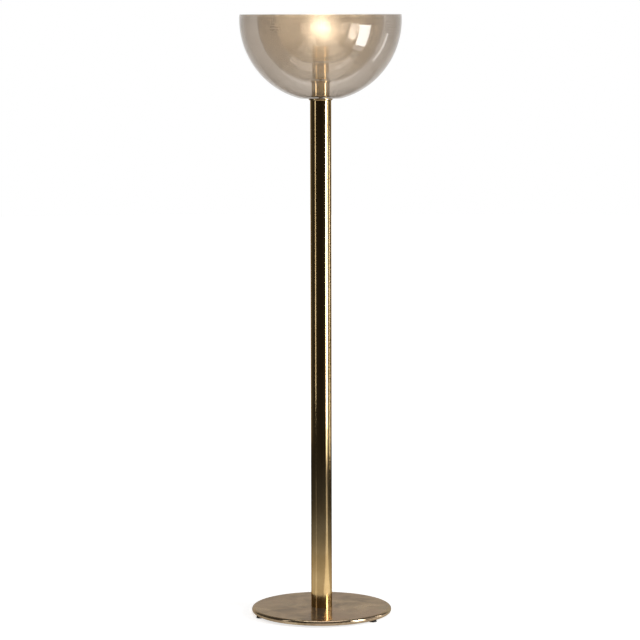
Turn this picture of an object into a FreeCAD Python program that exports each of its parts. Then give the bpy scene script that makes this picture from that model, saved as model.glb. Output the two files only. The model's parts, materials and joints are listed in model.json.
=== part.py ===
import FreeCAD, Part
import math
import os
from collections import namedtuple
from types import SimpleNamespace

import Sketcher

# Torchiere floor lamp: three nested glass bowls round one bulb, on a brass pole and a round base.
# Millimetres, +Z up, the origin on the floor under the middle of the base, the flex leaving along +Y.

DIMENSIONS = {
    # The whole lamp
    "lamp_height": 1750,
    "running_gap": 0.1,
    "free_gap": 0.3,
    # Glass bowls: part spheres with one shared centre and one shared rim height
    "outer_bowl_radius": 233.3,
    "bowl_step": 51,
    "glass_wall": 4,
    "rim_rise": 15,
    "seat_flat": 8,
    "glass_hole_radius": 6.5,
    "gasket_thickness": 1,
    # Base
    "base_radius": 205,
    "base_thickness": 15.4,
    "sheet": 1.2,
    "lip_width": 1.3,
    "weight_bevel": 3.3,
    "weight_clearance": 0.5,
    "cover_hole_radius": 24.3,
    "lead_hole_radius": 10,
    "channel_width": 7.2,
    "channel_depth": 10.4,
    # Feet and the screws that hold them
    "foot_height": 5,
    "foot_radius": 11,
    "foot_top_radius": 10.4,
    "foot_edge_round": 0.8,
    "foot_circle": 192,
    "foot_azimuth": 80.6,
    "foot_recess_radius": 6.2,
    "foot_recess_depth": 3.5,
    "foot_washer_thickness": 1,
    "foot_screw_radius": 2.5,
    "foot_screw_head_radius": 4.75,
    "foot_screw_head_height": 2,
    "foot_screw_length": 14,
    # Inlet bush for the flex
    "bush_radius": 4.5,
    "bush_bore_radius": 3.3,
    "bush_length": 15,
    "bush_flange_radius": 5.7,
    "bush_flange_thickness": 1.5,
    # Pole and the plug at its foot
    "pole_radius": 30.5,
    "pole_wall": 1.5,
    "plug_length": 28.8,
    "plug_bore_depth": 10.3,
    "plug_screw_circle": 16,
    "plug_screw_azimuth": 30,
    "plug_screw_radius": 3,
    "plug_screw_head_radius": 6,
    "plug_screw_length": 20,
    # Flange at the top of the pole
    "flange_radius": 34.5,
    "flange_thickness": 5,
    "flange_round": 3,
    "flange_plug_length": 20,
    # Tie rod and the lead inside it
    "rod_radius": 5,
    "rod_bore_radius": 3.5,
    "rod_engagement": 18,
    "lead_radius": 2.75,
    "lead_bend_radius": 14,
    "lead_end_gap": 3,
    # Spacers and seats between the bowls
    "clamp_ring_radius": 27.5,
    "clamp_ring_thickness": 3,
    "lower_spacer_radius": 26,
    "upper_spacer_radius": 24,
    "spacer_wall": 2,
    "spacer_floor": 3,
    "seat_spigot": 3,
    "seat_bevel": 1.2,
    "middle_seat_radius": 29.5,
    "middle_seat_thickness": 5,
    "inner_seat_radius": 25.5,
    "inner_seat_thickness": 4,
    "gasket_margin": 1.5,
    # Socket cup and the clamp inside it
    "cup_height": 44,
    "cup_wall": 1.5,
    "cup_floor": 2.5,
    "clamp_washer_radius": 12,
    "clamp_washer_thickness": 1.5,
    "clamp_nut_width": 14,
    "clamp_nut_thickness": 4,
    # E27 lampholder
    "holder_radius": 19,
    "holder_height": 33.5,
    "holder_bore_radius": 14.1,
    "holder_floor_top": 8.5,
    "holder_floor_bottom": 5.5,
    "holder_thread_depth": 3,
    "holder_chamber_radius": 7,
    "shell_radius": 13.95,
    "shell_bore_radius": 13.45,
    "shell_height": 22,
    "contact_radius": 4,
    "contact_thickness": 1,
    "terminal_circle": 9.5,
    "terminal_screw_radius": 1.5,
    "terminal_screw_length": 5,
    "terminal_head_radius": 2.5,
    "terminal_head_height": 1.5,
    # A60 bulb with an E27 cap, heights measured up from its tip
    "bulb_clearance": 0.3,
    "bulb_length": 107.5,
    "bulb_radius": 30,
    "bulb_wall": 0.8,
    "bulb_neck_radius": 13,
    "bulb_neck_angle": 35,
    "bulb_neck_start": 28.5,
    "bulb_tail_start": 20,
    "tip_radius": 4.7,
    "tip_height": 1.5,
    "tip_bevel": 1,
    "insulator_foot_radius": 5.2,
    "insulator_height": 4.5,
    "insulator_land": 1,
    "cap_bore_radius": 11.7,
    "cap_root_radius": 12.3,
    "cap_crest_radius": 13.1,
    "cap_top": 27,
    "cap_thread_start": 8,
    "cap_thread_pitch": 3.63,
    "cap_ridge_height": 2.6,
    "stem_foot_radius": 10,
    "stem_foot_height": 7,
    "stem_radius": 3,
    "stem_top": 52,
    "filament_height": 76,
    "filament_radius": 11,
    "filament_wire_radius": 0.4,
    "filament_wire_inset": 1.2,
    "filament_arc": 300,
}

THREAD_RIDGES = 5
FULL_TURN = 360

Arc = namedtuple("Arc", "centre_x centre_y turn")
ANTICLOCKWISE = 1
CLOCKWISE = -1


class Size:
    """A dimension that knows its value and the formula, in sheet cells, that gives it."""

    def __init__(self, value, formula):
        self.value = value
        self.formula = formula

    def __add__(self, other):
        other = as_size(other)
        return Size(self.value + other.value, f"({self.formula} + {other.formula})")

    def __radd__(self, other):
        return as_size(other) + self

    def __sub__(self, other):
        other = as_size(other)
        return Size(self.value - other.value, f"({self.formula} - {other.formula})")

    def __rsub__(self, other):
        return as_size(other) - self

    def __mul__(self, other):
        other = as_size(other)
        return Size(self.value * other.value, f"({self.formula} * {other.formula})")

    def __truediv__(self, other):
        other = as_size(other)
        return Size(self.value / other.value, f"({self.formula} / {other.formula})")

    def __neg__(self):
        return 0 - self


def as_size(number):
    if isinstance(number, Size):
        return number
    return Size(number, str(number))


def root(size):
    return Size(math.sqrt(size.value), f"sqrt({size.formula})")


def cosine(degrees):
    return Size(math.cos(math.radians(degrees.value)), f"cos({degrees.formula})")


def sine(degrees):
    return Size(math.sin(math.radians(degrees.value)), f"sin({degrees.formula})")


def half_chord(radius, distance):
    """Half the width of a circle at a distance from its centre."""
    return root(radius * radius - distance * distance)


document = FreeCAD.newDocument("TorchiereFloorLamp")
sheet = document.addObject("Spreadsheet::Sheet", "Dimensions")
for row, (alias, number) in enumerate(DIMENSIONS.items(), start=1):
    sheet.set(f"A{row}", alias)
    sheet.set(f"B{row}", str(number))
    sheet.setAlias(f"B{row}", alias)
document.recompute()
dim = SimpleNamespace(**{
    alias: Size(number, f"Dimensions.{alias}") for alias, number in DIMENSIONS.items()
})

parts = []


# ---- how pieces are made ----

def bind(thing, path, size):
    size = as_size(size)
    thing.setExpression(path, size.formula)


def place(thing, x=0, y=0, z=0):
    for letter, size in zip("xyz", (x, y, z)):
        bind(thing, f"Placement.Base.{letter}", size)


def new_body(name):
    body = document.addObject("PartDesign::Body", name)
    body.Label = name
    body.AllowCompound = True
    parts.append(body)
    return body


def origin_feature(body, role):
    return next(item for item in body.Origin.OriginFeatures if item.Role == role)


def new_sketch(body, name, plane, azimuth=None, offset=None):
    """A sketch on one of the body's own planes, turned about the body's Z axis or moved off it."""
    sketch = body.newObject("Sketcher::SketchObject", name)
    sketch.AttachmentSupport = [(origin_feature(body, plane), "")]
    sketch.MapMode = "FlatFace"
    if azimuth is not None:
        upright = FreeCAD.Rotation(FreeCAD.Vector(0, 1, 0), azimuth.value)
        sketch.AttachmentOffset = FreeCAD.Placement(FreeCAD.Vector(), upright)
        bind(sketch, "AttachmentOffset.Rotation.Angle", azimuth)
    if offset is not None:
        bind(sketch, "AttachmentOffset.Base.z", offset)
    return sketch


def fix_point(sketch, geometry, point, x=None, y=None):
    """Tie a point of the sketch to sizes measured from the sketch's origin."""
    for kind, size in (("DistanceX", x), ("DistanceY", y)):
        if size is None:
            continue
        size = as_size(size)
        index = sketch.addConstraint(Sketcher.Constraint(kind, -1, 1, geometry, point, size.value))
        bind(sketch, f"Constraints[{index}]", size)


def draw_edge(sketch, start, end, arc):
    """One straight or round edge; returns its number and which of its points are start and end."""
    first = FreeCAD.Vector(start[0].value, start[1].value, 0)
    last = FreeCAD.Vector(end[0].value, end[1].value, 0)
    if arc is None:
        return sketch.addGeometry(Part.LineSegment(first, last), False), 1, 2
    centre = FreeCAD.Vector(as_size(arc.centre_x).value, as_size(arc.centre_y).value, 0)
    circle = Part.Circle(centre, FreeCAD.Vector(0, 0, 1), (first - centre).Length)
    if arc.turn == CLOCKWISE:
        curve = Part.ArcOfCircle(circle, circle.parameter(last), circle.parameter(first))
        return sketch.addGeometry(curve, False), 2, 1
    curve = Part.ArcOfCircle(circle, circle.parameter(first), circle.parameter(last))
    return sketch.addGeometry(curve, False), 1, 2


def draw_outline(sketch, outline, closed=True):
    """An outline of corners (x, y), with an Arc between two corners where the edge is round.

    Both ends of an arc are tied down as corners, so only one coordinate of its centre is free:
    the one across the arc's chord, and that is tied too.
    """
    corners = []
    arcs = {}
    for item in outline:
        if isinstance(item, Arc):
            arcs[len(corners) - 1] = item
        else:
            corners.append((as_size(item[0]), as_size(item[1])))
    count = len(corners)
    edges = []
    for index in range(count if closed else count - 1):
        edges.append(draw_edge(sketch, corners[index], corners[(index + 1) % count], arcs.get(index)))
    for index, (edge, start_point, end_point) in enumerate(edges):
        fix_point(sketch, edge, start_point, *corners[index])
        if index + 1 < len(edges) or closed:
            next_edge, next_start, _ = edges[(index + 1) % len(edges)]
            sketch.addConstraint(
                Sketcher.Constraint("Coincident", edge, end_point, next_edge, next_start))
        else:
            fix_point(sketch, edge, end_point, *corners[-1])
        if index in arcs:
            start, end = corners[index], corners[(index + 1) % count]
            run_x = abs(end[0].value - start[0].value)
            run_y = abs(end[1].value - start[1].value)
            if run_y > run_x:
                fix_point(sketch, edge, 3, x=arcs[index].centre_x)
            else:
                fix_point(sketch, edge, 3, y=arcs[index].centre_y)


def draw_circle(sketch, radius, x=0, y=0):
    x, y = as_size(x), as_size(y)
    centre = FreeCAD.Vector(x.value, y.value, 0)
    number = sketch.addGeometry(Part.Circle(centre, FreeCAD.Vector(0, 0, 1), radius.value), False)
    fix_point(sketch, number, 3, x, y)
    index = sketch.addConstraint(Sketcher.Constraint("Radius", number, radius.value))
    bind(sketch, f"Constraints[{index}]", radius)


def draw_axis(sketch, distance):
    """An upright construction line at a distance from the middle, to turn an outline about."""
    foot = FreeCAD.Vector(distance.value, 0, 0)
    head = FreeCAD.Vector(distance.value, 1, 0)
    line = sketch.addGeometry(Part.LineSegment(foot, head), True)
    fix_point(sketch, line, 1, distance, 0)
    fix_point(sketch, line, 2, distance, 1)


def turn_outline(body, kind, name, outline, distance=None, azimuth=None):
    """Add or cut a turned shape, about the body's Z axis or about an upright axis beside it."""
    sketch = new_sketch(body, f"{name}_outline", "XZ_Plane", azimuth=azimuth)
    axis = "V_Axis"
    if distance is not None:
        outline = [item if isinstance(item, Arc) else (distance + item[0], item[1]) for item in outline]
        axis = "Axis0"
    draw_outline(sketch, outline)
    if distance is not None:
        draw_axis(sketch, distance)
    feature = body.newObject(kind, name)
    feature.Profile = sketch
    feature.ReferenceAxis = (sketch, [axis])
    feature.Angle = FULL_TURN
    return feature


def repeat_around(body, feature, name, count):
    pattern = body.newObject("PartDesign::PolarPattern", name)
    pattern.Originals = [feature]
    pattern.Axis = (origin_feature(body, "Z_Axis"), [""])
    pattern.Angle = FULL_TURN
    pattern.Occurrences = count
    body.Tip = pattern


def turned(name, outline, z=0):
    """A piece made on a lathe, its outline given as (radius, height)."""
    body = new_body(name)
    turn_outline(body, "PartDesign::Revolution", f"{name}_turning", outline)
    place(body, z=z)
    return body


def turned_group(name, outline, circle, azimuth, count, z):
    """Equal turned pieces, evenly spaced on a circle."""
    body = new_body(name)
    first = turn_outline(
        body, "PartDesign::Revolution", f"{name}_turning", outline, distance=circle, azimuth=azimuth)
    repeat_around(body, first, f"{name}_around", count)
    place(body, z=z)
    return body


def turned_holes(body, name, outline, circle, azimuth, count):
    """Equal turned holes, evenly spaced on a circle; stops if they cut nothing."""
    document.recompute()
    before = body.Shape.Volume
    first = turn_outline(
        body, "PartDesign::Groove", f"{name}_cut", outline, distance=circle, azimuth=azimuth)
    repeat_around(body, first, f"{name}_around", count)
    check_cut(body, name, before)


def cut_towards_plus_y(body, name, draw):
    """Cut the outline that draw puts on the body's XZ plane, from the middle out along +Y."""
    document.recompute()
    before = body.Shape.Volume
    sketch = new_sketch(body, f"{name}_outline", "XZ_Plane")
    draw(sketch)
    pocket = body.newObject("PartDesign::Pocket", name)
    pocket.Profile = sketch
    pocket.Type = "ThroughAll"
    check_cut(body, name, before)


def check_cut(body, name, before):
    document.recompute()
    if body.Shape.Volume >= before:
        raise RuntimeError(f"{name} cuts nothing from {body.Label}")


def plain_ring(inner, outer, thickness):
    return [(inner, 0), (outer, 0), (outer, thickness), (inner, thickness)]


def disc(radius, thickness):
    return plain_ring(0, radius, thickness)


# ---- heights shared by several pieces ----

bowl_centre_z = dim.lamp_height - dim.rim_rise
bowl_radii = {
    "outer": dim.outer_bowl_radius,
    "middle": dim.outer_bowl_radius - dim.bowl_step,
    "inner": dim.outer_bowl_radius - dim.bowl_step * 2,
}


def glass_under(which):
    """Height of the flat on which a bowl stands."""
    return bowl_centre_z - bowl_radii[which] + dim.seat_flat


def glass_over(which):
    """Height of the flat inside a bowl."""
    return glass_under(which) + dim.glass_wall


base_top_z = dim.foot_height + dim.base_thickness
plate_top_z = dim.foot_height + dim.sheet
edge_middle_z = dim.foot_height + dim.base_thickness / 2
edge_round = dim.base_thickness / 2
edge_circle = dim.base_radius - edge_round
weight_top_z = base_top_z - dim.sheet
rod_hole_radius = dim.rod_radius + dim.running_gap
plug_radius = dim.pole_radius - dim.pole_wall - dim.running_gap * 2
flange_top_z = glass_under("outer") - dim.gasket_thickness
pole_top_z = flange_top_z - dim.flange_thickness
plug_top_z = weight_top_z + dim.plug_length
lower_stack_z = glass_over("outer") + dim.gasket_thickness
middle_seat_top_z = glass_under("middle") - dim.gasket_thickness
upper_stack_z = glass_over("middle") + dim.gasket_thickness
inner_seat_top_z = glass_under("inner") - dim.gasket_thickness
cup_z = glass_over("inner") + dim.gasket_thickness
clamp_washer_z = cup_z + dim.cup_floor
clamp_nut_z = clamp_washer_z + dim.clamp_washer_thickness
holder_z = clamp_nut_z + dim.clamp_nut_thickness
holder_floor_z = holder_z + dim.holder_floor_top
rod_bottom_z = plug_top_z - dim.rod_engagement
rod_top_z = holder_z + dim.holder_thread_depth
bulb_z = holder_floor_z + dim.contact_thickness + dim.bulb_clearance


# ---- base ----

def make_base_cover():
    """Spun brass cover: flat top, half-round edge, and a narrow lip rolled in underneath."""
    middle = dim.base_thickness / 2
    lip_radius = edge_circle - dim.lip_width
    under_top = dim.base_thickness - dim.sheet
    cover = turned("base_cover", [
        (dim.cover_hole_radius, under_top),
        (edge_circle, under_top),
        Arc(edge_circle, middle, CLOCKWISE),
        (edge_circle, dim.sheet),
        (lip_radius, dim.sheet),
        (lip_radius, 0),
        (edge_circle, 0),
        Arc(edge_circle, middle, ANTICLOCKWISE),
        (edge_circle, dim.base_thickness),
        (dim.cover_hole_radius, dim.base_thickness),
    ], dim.foot_height)
    hole_radius = dim.bush_radius + dim.free_gap
    cut_towards_plus_y(
        cover, "base_cover_inlet", lambda sketch: draw_circle(sketch, hole_radius, y=middle))


def make_base_weight():
    """Cast iron disc with a round edge, screw holes, a channel for the lead and a bore for the bush."""
    thickness = dim.base_thickness - dim.sheet * 2
    middle = thickness / 2
    round_radius = edge_round - dim.sheet - dim.weight_clearance
    flat_radius = edge_circle - dim.weight_bevel
    weight = turned("base_weight", [
        (dim.lead_hole_radius, 0),
        (flat_radius, 0),
        (edge_circle, middle - round_radius),
        Arc(edge_circle, middle, ANTICLOCKWISE),
        (edge_circle, middle + round_radius),
        (flat_radius, thickness),
        (dim.lead_hole_radius, thickness),
    ], plate_top_z)
    screw_hole = dim.foot_screw_radius + dim.running_gap
    hole_depth = dim.foot_screw_length - dim.foot_height + dim.foot_recess_depth
    turned_holes(weight, "foot_holes", [
        (0, 0), (screw_hole, 0), (screw_hole, hole_depth), (0, hole_depth),
    ], dim.foot_circle, dim.foot_azimuth, 3)
    head_radius = dim.plug_screw_head_radius + dim.running_gap
    shank_radius = dim.plug_screw_radius + dim.running_gap
    turned_holes(weight, "plug_holes", [
        (0, 0),
        (head_radius, 0),
        (shank_radius, head_radius - shank_radius),
        (shank_radius, thickness),
        (0, thickness),
    ], dim.plug_screw_circle, dim.plug_screw_azimuth, 3)
    half_width = dim.channel_width / 2
    document.recompute()
    before = weight.Shape.Volume
    channel_sketch = new_sketch(weight, "lead_channel_outline", "XY_Plane")
    shoulder_y = dim.base_radius - dim.bush_length
    draw_outline(channel_sketch, [
        (-half_width, 0), (half_width, 0), (half_width, shoulder_y), (-half_width, shoulder_y),
    ])
    channel = weight.newObject("PartDesign::Pocket", "lead_channel")
    channel.Profile = channel_sketch
    channel.Reversed = True
    bind(channel, "Length", dim.channel_depth)
    check_cut(weight, "lead_channel", before)
    before = weight.Shape.Volume
    bore_sketch = new_sketch(weight, "bush_bore_outline", "XZ_Plane", offset=-shoulder_y)
    draw_circle(bore_sketch, dim.bush_radius + dim.running_gap, y=middle)
    bore = weight.newObject("PartDesign::Pocket", "bush_bore")
    bore.Profile = bore_sketch
    bore.Type = "ThroughAll"
    check_cut(weight, "bush_bore", before)


def make_bottom_plate():
    """Steel disc that closes the base inside the cover's lip."""
    radius = edge_circle - dim.lip_width - dim.free_gap
    plate = turned("bottom_plate", disc(radius, dim.sheet), dim.foot_height)
    hole = dim.foot_screw_radius + dim.running_gap
    turned_holes(plate, "plate_holes", disc(hole, dim.sheet), dim.foot_circle, dim.foot_azimuth, 3)


def make_feet():
    """Three rubber feet with a recess underneath for the washer and the screw head."""
    hole = dim.foot_screw_radius + dim.running_gap
    bottom_radius = dim.foot_radius - dim.foot_edge_round
    outline = [
        (dim.foot_recess_radius, 0),
        (bottom_radius, 0),
        Arc(bottom_radius, dim.foot_edge_round, ANTICLOCKWISE),
        (dim.foot_radius, dim.foot_edge_round),
        (dim.foot_top_radius, dim.foot_height),
        (hole, dim.foot_height),
        (hole, dim.foot_recess_depth),
        (dim.foot_recess_radius, dim.foot_recess_depth),
    ]
    for number, name in enumerate(("foot_back", "foot_left", "foot_right")):
        azimuth = dim.foot_azimuth + number * FULL_TURN // 3
        foot = turned(name, outline)
        place(foot, x=dim.foot_circle * cosine(azimuth), y=dim.foot_circle * sine(azimuth))


def make_foot_fasteners():
    washer_z = dim.foot_recess_depth - dim.foot_washer_thickness
    washer_hole = dim.foot_screw_radius + dim.running_gap
    washer_radius = dim.foot_recess_radius - dim.free_gap
    turned_group(
        "foot_washers", plain_ring(washer_hole, washer_radius, dim.foot_washer_thickness),
        dim.foot_circle, dim.foot_azimuth, 3, washer_z)
    head_top = dim.foot_screw_head_height
    turned_group("foot_screws", [
        (0, 0),
        (dim.foot_screw_head_radius, 0),
        (dim.foot_screw_head_radius, head_top),
        (dim.foot_screw_radius, head_top),
        (dim.foot_screw_radius, head_top + dim.foot_screw_length),
        (0, head_top + dim.foot_screw_length),
    ], dim.foot_circle, dim.foot_azimuth, 3, washer_z - head_top)


def make_cord_inlet_bush():
    """Plastic bush lying along Y in the rear edge, its flange against the cover."""
    body = new_body("cord_inlet_bush")
    length = dim.bush_length
    full_length = length + dim.bush_flange_thickness
    sketch = new_sketch(body, "bush_outline", "YZ_Plane")
    draw_outline(sketch, [
        (0, dim.bush_bore_radius),
        (full_length, dim.bush_bore_radius),
        (full_length, dim.bush_flange_radius),
        (length, dim.bush_flange_radius),
        (length, dim.bush_radius),
        (0, dim.bush_radius),
    ])
    turning = body.newObject("PartDesign::Revolution", "bush_turning")
    turning.Profile = sketch
    turning.ReferenceAxis = (sketch, ["H_Axis"])
    turning.Angle = FULL_TURN
    place(body, y=dim.base_radius - length, z=edge_middle_z)


# ---- pole ----

def make_pole_foot_plug():
    """Steel plug that centres the pole; the tie rod screws into it from above."""
    pilot_radius = dim.cover_hole_radius - dim.free_gap
    plug = turned("pole_foot_plug", [
        (dim.lead_hole_radius, 0),
        (pilot_radius, 0),
        (pilot_radius, dim.sheet),
        (plug_radius, dim.sheet),
        (plug_radius, dim.plug_length),
        (rod_hole_radius, dim.plug_length),
        (rod_hole_radius, dim.plug_bore_depth),
        (dim.lead_hole_radius, dim.plug_bore_depth),
    ], weight_top_z)
    hole = dim.plug_screw_radius + dim.running_gap
    depth = plate_top_z + dim.plug_screw_length - weight_top_z + dim.free_gap
    turned_holes(
        plug, "plug_threads", disc(hole, depth), dim.plug_screw_circle, dim.plug_screw_azimuth, 3)


def make_plug_screws():
    """Three countersunk screws up through the weight into the plug."""
    turned_group("plug_screws", [
        (0, 0),
        (dim.plug_screw_head_radius, 0),
        (dim.plug_screw_radius, dim.plug_screw_head_radius - dim.plug_screw_radius),
        (dim.plug_screw_radius, dim.plug_screw_length),
        (0, dim.plug_screw_length),
    ], dim.plug_screw_circle, dim.plug_screw_azimuth, 3, plate_top_z)


def make_pole_tube():
    bore = dim.pole_radius - dim.pole_wall
    turned("pole_tube", plain_ring(bore, dim.pole_radius, pole_top_z - base_top_z), base_top_z)


def make_pole_top_flange():
    """Brass flange under the outer bowl, with a plug that fits the pole."""
    under = dim.flange_plug_length
    top = under + dim.flange_thickness
    round_centre = dim.flange_radius - dim.flange_round
    turned("pole_top_flange", [
        (rod_hole_radius, 0),
        (plug_radius, 0),
        (plug_radius, under),
        (round_centre, under),
        Arc(round_centre, under + dim.flange_round, ANTICLOCKWISE),
        (dim.flange_radius, under + dim.flange_round),
        (dim.flange_radius, top),
        (rod_hole_radius, top),
    ], pole_top_z - under)


def make_tie_rod():
    turned(
        "tie_rod", plain_ring(dim.rod_bore_radius, dim.rod_radius, rod_top_z - rod_bottom_z),
        rod_bottom_z)


def make_inner_lead():
    """Flex from the inlet bush along the channel, round one bend and up through the tie rod."""
    body = new_body("inner_lead")
    bend = dim.lead_bend_radius
    start_y = dim.base_radius - dim.bush_length - dim.lead_end_gap
    end_z = rod_top_z + (dim.holder_floor_bottom - dim.holder_thread_depth) / 2
    path = new_sketch(body, "lead_path", "YZ_Plane")
    draw_outline(path, [
        (start_y, edge_middle_z),
        (bend, edge_middle_z),
        Arc(bend, edge_middle_z + bend, CLOCKWISE),
        (0, edge_middle_z + bend),
        (0, end_z),
    ], closed=False)
    section = new_sketch(body, "lead_section", "XZ_Plane", offset=-start_y)
    draw_circle(section, dim.lead_radius, y=edge_middle_z)
    sweep = body.newObject("PartDesign::AdditivePipe", "lead_sweep")
    sweep.Profile = section
    sweep.Spine = path


# ---- glass and the brass between it ----

def make_bowl(which):
    """Part sphere with a rounded rim, a small flat where it is clamped, and a hole for the rod."""
    radius = bowl_radii[which]
    bore = radius - dim.glass_wall
    flat_under = radius - dim.seat_flat
    flat_over = bore - dim.seat_flat
    rim_radius = dim.glass_wall / 2
    rim_sine = (dim.rim_rise - rim_radius) / (radius - rim_radius)
    rim_cosine = root(1 - rim_sine * rim_sine)
    turned(f"{which}_bowl", [
        (dim.glass_hole_radius, -flat_under),
        (half_chord(radius, flat_under), -flat_under),
        Arc(0, 0, ANTICLOCKWISE),
        (radius * rim_cosine, radius * rim_sine),
        Arc((radius - rim_radius) * rim_cosine, (radius - rim_radius) * rim_sine, ANTICLOCKWISE),
        (bore * rim_cosine, bore * rim_sine),
        Arc(0, 0, CLOCKWISE),
        (half_chord(bore, flat_over), -flat_over),
        (dim.glass_hole_radius, -flat_over),
    ], bowl_centre_z)


def make_gaskets(which, lower_radius, upper_radius):
    """One rubber ring under the glass and one over it."""
    for side, radius, z in (
        ("lower", lower_radius, glass_under(which) - dim.gasket_thickness),
        ("upper", upper_radius, glass_over(which)),
    ):
        outline = plain_ring(
            dim.glass_hole_radius, radius - dim.gasket_margin, dim.gasket_thickness)
        turned(f"{which}_bowl_{side}_gasket", outline, z)


def make_outer_clamp_washer():
    turned(
        "outer_clamp_washer",
        plain_ring(rod_hole_radius, dim.clamp_ring_radius, dim.clamp_ring_thickness),
        lower_stack_z)


def make_spacer(name, radius, bottom_z, top_z):
    """Brass sleeve with a floor; the seat above closes it."""
    bore = radius - dim.spacer_wall
    height = top_z - bottom_z
    turned(name, [
        (rod_hole_radius, 0),
        (radius, 0),
        (radius, height),
        (bore, height),
        (bore, dim.spacer_floor),
        (rod_hole_radius, dim.spacer_floor),
    ], bottom_z)


def make_seat(name, radius, thickness, sleeve_radius, top_z):
    """Brass ring that carries a bowl, with a spigot that fits the sleeve below."""
    spigot_radius = sleeve_radius - dim.spacer_wall - dim.running_gap * 2
    under = dim.seat_spigot
    turned(name, [
        (rod_hole_radius, 0),
        (spigot_radius, 0),
        (spigot_radius, under),
        (radius - dim.seat_bevel, under),
        (radius, under + dim.seat_bevel),
        (radius, under + thickness),
        (rod_hole_radius, under + thickness),
    ], top_z - thickness - under)


def make_socket_cup():
    """Brass cup round the lampholder; the clamp nut presses on its floor."""
    bore = dim.upper_spacer_radius - dim.cup_wall
    turned("socket_cup", [
        (rod_hole_radius, 0),
        (dim.upper_spacer_radius, 0),
        (dim.upper_spacer_radius, dim.cup_height),
        (bore, dim.cup_height),
        (bore, dim.cup_floor),
        (rod_hole_radius, dim.cup_floor),
    ], cup_z)


def make_clamp():
    turned(
        "clamp_washer",
        plain_ring(rod_hole_radius, dim.clamp_washer_radius, dim.clamp_washer_thickness),
        clamp_washer_z)
    nut = new_body("clamp_nut")
    sketch = new_sketch(nut, "nut_outline", "XY_Plane")
    corner_radius = dim.clamp_nut_width / root(as_size(3))
    corners = []
    for number in range(6):
        azimuth = as_size(number * FULL_TURN // 6)
        corners.append((corner_radius * cosine(azimuth), corner_radius * sine(azimuth)))
    draw_outline(sketch, corners)
    draw_circle(sketch, rod_hole_radius)
    pad = nut.newObject("PartDesign::Pad", "nut_pad")
    pad.Profile = sketch
    bind(pad, "Length", dim.clamp_nut_thickness)
    place(nut, z=clamp_nut_z)


# ---- lampholder ----

def make_lampholder():
    """Porcelain body on the rod's end, with the brass screw shell, the contact and two screws."""
    body = turned("lampholder_body", [
        (rod_hole_radius, 0),
        (dim.holder_radius, 0),
        (dim.holder_radius, dim.holder_height),
        (dim.holder_bore_radius, dim.holder_height),
        (dim.holder_bore_radius, dim.holder_floor_top),
        (0, dim.holder_floor_top),
        (0, dim.holder_floor_bottom),
        (dim.holder_chamber_radius, dim.holder_floor_bottom),
        (dim.holder_chamber_radius, dim.holder_thread_depth),
        (rod_hole_radius, dim.holder_thread_depth),
    ], holder_z)
    hole = dim.terminal_screw_radius + dim.running_gap
    hole_bottom = dim.holder_floor_top - dim.terminal_screw_length - dim.free_gap
    turned_holes(body, "terminal_holes", [
        (0, hole_bottom),
        (hole, hole_bottom),
        (hole, dim.holder_floor_top),
        (0, dim.holder_floor_top),
    ], dim.terminal_circle, as_size(0), 2)
    turned(
        "screw_shell", plain_ring(dim.shell_bore_radius, dim.shell_radius, dim.shell_height),
        holder_floor_z)
    turned("centre_contact", disc(dim.contact_radius, dim.contact_thickness), holder_floor_z)
    length = dim.terminal_screw_length
    turned_group("terminal_screws", [
        (0, 0),
        (dim.terminal_screw_radius, 0),
        (dim.terminal_screw_radius, length),
        (dim.terminal_head_radius, length),
        (dim.terminal_head_radius, length + dim.terminal_head_height),
        (0, length + dim.terminal_head_height),
    ], dim.terminal_circle, as_size(0), 2, holder_floor_z - length)


# ---- bulb ----

def make_bulb_glass():
    """Pear-shaped envelope: a sphere that runs into the neck along one hollow arc."""
    globe_z = dim.bulb_length - dim.bulb_radius
    across = cosine(dim.bulb_neck_angle)
    down = sine(dim.bulb_neck_angle)
    neck_arc = (dim.bulb_radius * across - dim.bulb_neck_radius) / (1 - across)
    arc_x = dim.bulb_neck_radius + neck_arc
    arc_z = globe_z - (dim.bulb_radius + neck_arc) * down
    start_z = dim.bulb_neck_start
    tail_radius = dim.cap_bore_radius - dim.free_gap
    inner_radius = dim.bulb_radius - dim.bulb_wall
    tail_inner_radius = tail_radius - dim.bulb_wall
    shoulder_z = dim.cap_top + dim.free_gap

    def neck_point(offset):
        return (arc_x - half_chord(neck_arc + offset, start_z - arc_z), start_z)

    def join_point(radius):
        return (radius * across, globe_z - radius * down)

    turned("bulb_glass", [
        (tail_radius, dim.bulb_tail_start),
        (tail_radius, shoulder_z),
        neck_point(0),
        Arc(arc_x, arc_z, CLOCKWISE),
        join_point(dim.bulb_radius),
        Arc(0, globe_z, ANTICLOCKWISE),
        (0, dim.bulb_length),
        (0, dim.bulb_length - dim.bulb_wall),
        Arc(0, globe_z, CLOCKWISE),
        join_point(inner_radius),
        Arc(arc_x, arc_z, ANTICLOCKWISE),
        neck_point(dim.bulb_wall),
        (tail_inner_radius, shoulder_z),
        (tail_inner_radius, dim.bulb_tail_start),
    ], bulb_z)


def make_bulb_cap():
    """Brass cap with rounded thread ridges."""
    foot_z = dim.tip_height + dim.insulator_height
    rise = dim.cap_crest_radius - dim.cap_root_radius
    half_ridge = dim.cap_ridge_height / 2
    ridge_round = (half_ridge * half_ridge + rise * rise) / (rise * 2)
    ridge_centre = dim.cap_crest_radius - ridge_round
    outline = [(dim.cap_bore_radius, foot_z), (dim.cap_root_radius, foot_z + rise)]
    for number in range(THREAD_RIDGES):
        bottom = dim.cap_thread_start + dim.cap_thread_pitch * number
        outline.append((dim.cap_root_radius, bottom))
        outline.append(Arc(ridge_centre, bottom + half_ridge, ANTICLOCKWISE))
        outline.append((dim.cap_root_radius, bottom + dim.cap_ridge_height))
    outline.append((dim.cap_root_radius, dim.cap_top))
    outline.append((dim.cap_bore_radius, dim.cap_top))
    turned("bulb_cap", outline, bulb_z)


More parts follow.
